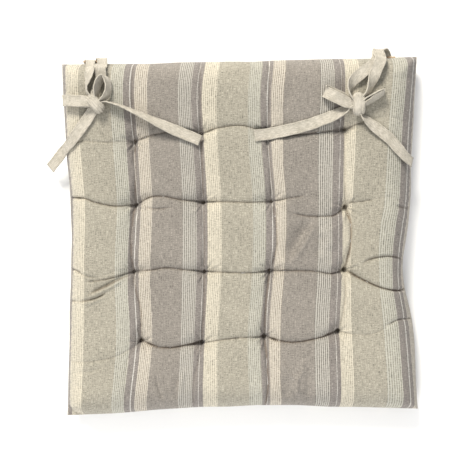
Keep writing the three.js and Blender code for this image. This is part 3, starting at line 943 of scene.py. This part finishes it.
def striped_cotton(name, shift, gain):
    n = Nodes(name)
    uv = n.add("UVMap", uv_map="Cloth")
    split = n.add("SeparateXYZ", {0: uv})
    u, v = split.outputs[0], split.outputs[1]
    wobble = n.noise(uv, 90, 1)
    u_soft = n.sum(u, n.mul(n.math("SUBTRACT", wobble, 0.5), 0.0007))
    across = n.math("FRACT", n.math("DIVIDE", n.sum(u_soft, shift * MM), REPEAT))
    ground, lines, at = [], [], 0.0
    for width, ground_colour, line_colour in STRIPES:
        ground.append((at * MM / REPEAT, linear(*ground_colour, gain)))
        lines.append((at * MM / REPEAT, linear(*line_colour, gain)))
        at += width
    base = n.ramp(across, ground, "CONSTANT")
    bright = n.ramp(across, lines, "CONSTANT")
    comb = n.math("SINE", n.mul(u_soft, 2 * math.pi / 0.0024))
    lit = n.math("MULTIPLY_ADD", comb, 1.6, 0.5, clamp=True)
    colour = n.mix(lit, base.outputs[0], bright.outputs[0])
    # Uneven yarn: streaks along the warp and the weft, light flecks, and slow shifts of tone
    warp = n.noise(n.add("Mapping", {0: uv, 3: (1100, 110, 1)}), 1.0, 2, 0.6)
    weft = n.noise(n.add("Mapping", {0: uv, 3: (190, 1000, 1)}), 1.0, 2, 0.6)
    mottle = n.noise(uv, 620, 2, 0.7)
    fleck = n.noise(n.add("Mapping", {0: uv, 3: (260, 800, 1)}), 1.0, 1)
    fleck = n.math("MULTIPLY_ADD", fleck, 7, -4.4, clamp=True)
    cloud = n.noise(uv, 22, 2)
    yarn = n.sum(n.mul(warp, 0.42), n.mul(weft, 0.58))
    yarn = n.sum(yarn, n.mul(mottle, 0.50))
    yarn = n.sum(yarn, n.mul(cloud, 0.14))
    shade = n.sum(n.mul(n.math("SUBTRACT", yarn, 0.82), 3.3), 1.0)
    shade = n.sum(shade, n.mul(fleck, 0.14))
    tint = n.add("CombineColor", {0: shade, 1: shade, 2: shade})
    colour = n.mix(n.math("MULTIPLY_ADD", lit, -0.7, 1.0), colour, tint.outputs[0], "MULTIPLY")
    # Painted shade: darkens the colour towards brown in the creases, fold bottoms and tuft dimples
    painted_shade = n.add("Attribute", attribute_name="painted_shade").outputs[2]
    colour = n.mix(n.mul(painted_shade, 0.84), colour, (*linear(92, 74, 56), 1))
    n.set(n.shader.inputs["Base Color"], colour)
    # Plain weave: raised threads both ways, 0.55 mm apart
    pitch = 2 * math.pi / 0.00055
    warp_wave = n.math("SINE", n.mul(u, pitch))
    weft_wave = n.math("SINE", n.mul(v, pitch))
    weave = n.mul(warp_wave, weft_wave)
    relief = n.sum(n.mul(weave, 0.25), n.mul(yarn, 1.6))
    bump = n.add("Bump", {"Height": relief, "Strength": 0.35, "Distance": 0.0004})
    n.set(n.shader.inputs["Normal"], bump)
    n.set(n.shader.inputs["Roughness"], n.math("MULTIPLY_ADD", yarn, 0.16, 0.82))
    n.shader.inputs["Specular IOR Level"].default_value = 0.18
    n.shader.inputs["Sheen Weight"].default_value = 0.12
    n.shader.inputs["Sheen Roughness"].default_value = 0.6
    return n.material


# Where the left seam cuts into the repeat, in mm, on each panel
TOP_START, BOTTOM_START, CLOTH_GAIN = -1.65, 37, 0.60
top_panel.data.materials.append(
    striped_cotton("striped_cotton_top", TOP_START + REPEAT / MM, CLOTH_GAIN)
)
bottom_panel.data.materials.append(
    striped_cotton("striped_cotton_bottom", BOTTOM_START + REPEAT / MM, CLOTH_GAIN)
)


def woven_tape(name, colour, gain=1.0):
    n = Nodes(name)
    uv = n.add("UVMap", uv_map="Tape")
    split = n.add("SeparateXYZ", {0: uv})
    along, across = split.outputs[0], split.outputs[1]
    folded = n.math("FRACT", n.math("DIVIDE", n.sum(across, 0.01), 0.02))
    folded = n.math("ABSOLUTE", n.math("SUBTRACT", folded, 0.5))
    rib = n.math("SINE", n.mul(across, 2 * math.pi / 0.0008))
    pick = n.math("SINE", n.mul(along, 2 * math.pi / 0.0009))
    weave = n.mul(rib, pick)
    slub = n.noise(n.add("Mapping", {0: uv, 3: (250, 900, 1)}), 1.0, 3, 0.6)
    cloud = n.noise(uv, 120, 2)
    # Two rows of stitching beside the turned-in edges
    row = n.math("COMPARE", folded, 0.245, 0.013)
    dash = n.math("GREATER_THAN", n.math("SINE", n.mul(along, 2 * math.pi / 0.0028)), -0.45)
    stitch = n.mul(row, dash)
    level = n.sum(n.mul(slub, 1.2), n.mul(cloud, 0.6))
    level = n.sum(level, n.mul(weave, 0.05))
    shade = n.sum(level, 0.10)
    tint = n.add("CombineColor", {0: shade, 1: shade, 2: shade})
    cooler = (colour[0] - 6, colour[1] - 5, colour[2] + 2)
    base = n.mix(cloud, (*linear(*colour, gain), 1), (*linear(*cooler, gain), 1))
    base = n.mix(n.mul(stitch, 0.5), base, (*linear(196, 186, 166, gain), 1))
    n.set(n.shader.inputs["Base Color"], n.mix(1.0, base, tint.outputs[0], "MULTIPLY"))
    relief = n.sum(n.mul(weave, 0.3), n.mul(slub, 0.8))
    relief = n.sum(relief, n.mul(stitch, 0.8))
    n.set(n.shader.inputs["Normal"], n.add("Bump", {"Height": relief, "Strength": 0.5, "Distance": 0.0004}))
    n.set(n.shader.inputs["Roughness"], n.math("MULTIPLY_ADD", slub, 0.14, 0.8))
    n.shader.inputs["Specular IOR Level"].default_value = 0.2
    n.shader.inputs["Sheen Weight"].default_value = 0.12
    return n.material


def spun_thread(name, colour, pitch):
    n = Nodes(name)
    where = n.add("TexCoord").outputs[3]
    split = n.add("SeparateXYZ", {0: where})
    spiral = n.sum(split.outputs[0], split.outputs[1])
    spiral = n.sum(spiral, n.mul(split.outputs[2], 1.4))
    ply = n.math("SINE", n.mul(spiral, 2 * math.pi / pitch))
    fuzz = n.noise(where, 2600, 2)
    level = n.sum(n.mul(ply, 0.10), n.mul(fuzz, 0.3))
    shade = n.sum(level, 0.85)
    tint = n.add("CombineColor", {0: shade, 1: shade, 2: shade})
    n.set(n.shader.inputs["Base Color"], n.mix(1.0, (*linear(*colour), 1), tint.outputs[0], "MULTIPLY"))
    n.set(n.shader.inputs["Normal"], n.add("Bump", {"Height": level, "Strength": 0.6, "Distance": 0.0003}))
    n.set(n.shader.inputs["Roughness"], n.math("MULTIPLY_ADD", fuzz, 0.2, 0.6))
    n.shader.inputs["Specular IOR Level"].default_value = 0.25
    return n.material


def polyester_fibre(name):
    n = Nodes(name)
    where = n.add("TexCoord").outputs[3]
    strands = n.noise(n.add("Mapping", {0: where, 3: (1, 2.2, 1.4)}), 420, 5, 0.75)
    clump = n.noise(where, 60, 2)
    level = n.sum(n.mul(strands, 0.3), n.mul(clump, 0.2))
    base = n.ramp(level, [(0.1, (0.62, 0.62, 0.6)), (0.4, (0.85, 0.85, 0.83))])
    n.set(n.shader.inputs["Base Color"], base)
    n.set(n.shader.inputs["Normal"], n.add("Bump", {"Height": strands, "Strength": 0.8, "Distance": 0.001}))
    n.set(n.shader.inputs["Roughness"], n.math("MULTIPLY_ADD", strands, 0.1, 0.85))
    return n.material


tape_cotton = woven_tape("cotton_tape", (238, 230, 211), 0.545)
for piece, _ in tapes.values():
    piece.data.materials.append(tape_cotton)
for piece in (right_knot, left_knot):
    piece.data.materials.append(tape_cotton)
seam_stitches.data.materials.append(spun_thread("seam_thread_spun", (150, 142, 130), 0.0009))
tuft_thread = spun_thread("tuft_thread_spun", (124, 112, 98), 0.0011)
for piece in tuft_pieces:
    piece.data.materials.append(tuft_thread)
tack_thread = spun_thread("tack_thread_spun", (196, 170, 142), 0.0009)
for piece in bar_tacks.values():
    piece.data.materials.append(tack_thread)
filling.data.materials.append(polyester_fibre("polyester_fibre"))

# ---------------------------------------------------------------- light and floor

world = bpy.data.worlds.new("studio")
bpy.context.scene.world = world
world.use_nodes = True
world.node_tree.nodes["Background"].inputs[0].default_value = (0.98, 0.99, 1.0, 1)
world.node_tree.nodes["Background"].inputs[1].default_value = 0.60


def area_light(name, place, target, size, power, colour):
    light = bpy.data.lights.new(name, "AREA")
    light.size, light.energy, light.color = size, power, colour
    obj = bpy.data.objects.new(name, light)
    obj.location = place
    direction = Vector(target) - Vector(place)
    obj.rotation_euler = direction.to_track_quat("-Z", "Y").to_euler()
    bpy.context.scene.collection.objects.link(obj)


area_light("key", (-1.1, 2.7, 2.2), (0, 0, 0), 1.1, 170, (1.0, 0.95, 0.86))
area_light("fill", (-0.1, -0.95, 0.75), (0, -0.1, 0), 0.6, 8.5, (1.0, 0.98, 0.95))

FLOOR_HALF, FLOOR_Z = 3000, -0.6
corners = [(-1, -1), (1, -1), (1, 1), (-1, 1)]
floor = new_mesh("floor", [(FLOOR_HALF * a, FLOOR_HALF * b, FLOOR_Z) for a, b in corners], [(0, 1, 2, 3)])
paper = Nodes("pale_floor")
tone = paper.noise(paper.add("TexCoord").outputs[3], 3, 2)
tone = paper.ramp(tone, [(0, (0.93, 0.93, 0.93)), (1, (0.96, 0.96, 0.955))])
paper.set(paper.shader.inputs["Base Color"], tone)
paper.shader.inputs["Roughness"].default_value = 0.9
floor.data.materials.append(paper.material)

view = bpy.context.scene.view_settings
view.view_transform = "Standard"
view.look = "None"

# ---------------------------------------------------------------- bodies

for piece, slot_name, node in (
    (top_panel, "top_cloth", "top_cover"),
    (bottom_panel, "bottom_cloth", "bottom_cover"),
    (filling, "fibre", "filling"),
    (seam_stitches, "seam_thread", "edge_seam_thread"),
    (bar_tacks["right"], "seam_thread", "right_bar_tack"),
    (bar_tacks["left"], "seam_thread", "left_bar_tack"),
):
    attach(piece, "pad")
    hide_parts(node)
for k, piece in enumerate(tuft_pieces):
    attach(piece, "pad")
    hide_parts(f"tuft_thread_r{k // 4 + 1}_c{k % 4 + 1}")
for side_name, piece in (("right", right_knot), ("left", left_knot)):
    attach(piece, f"{side_name}_bow")
    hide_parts(f"{side_name}_bow_knot")

# Each tape runs root, strand, knot, loop, knot, tail. Its loop, its tail and its length in metres:
LOOP_AND_TAIL = {
    "right_tie_a": ("right_bow_loop_inner", "right_bow_tail_outer", 0.285),
    "right_tie_b": ("right_bow_loop_outer", "right_bow_tail_inner", 0.30),
    "left_tie_a": ("left_bow_loop_outer", "left_bow_tail_inner", 0.305),
    "left_tie_b": ("left_bow_loop_inner", "left_bow_tail_outer", 0.26),
}
for name, (loop, tail, length) in LOOP_AND_TAIL.items():
    piece, line = tapes[name]
    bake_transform(piece)
    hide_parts(f"{name}_root", f"{name}_strand", loop, tail)
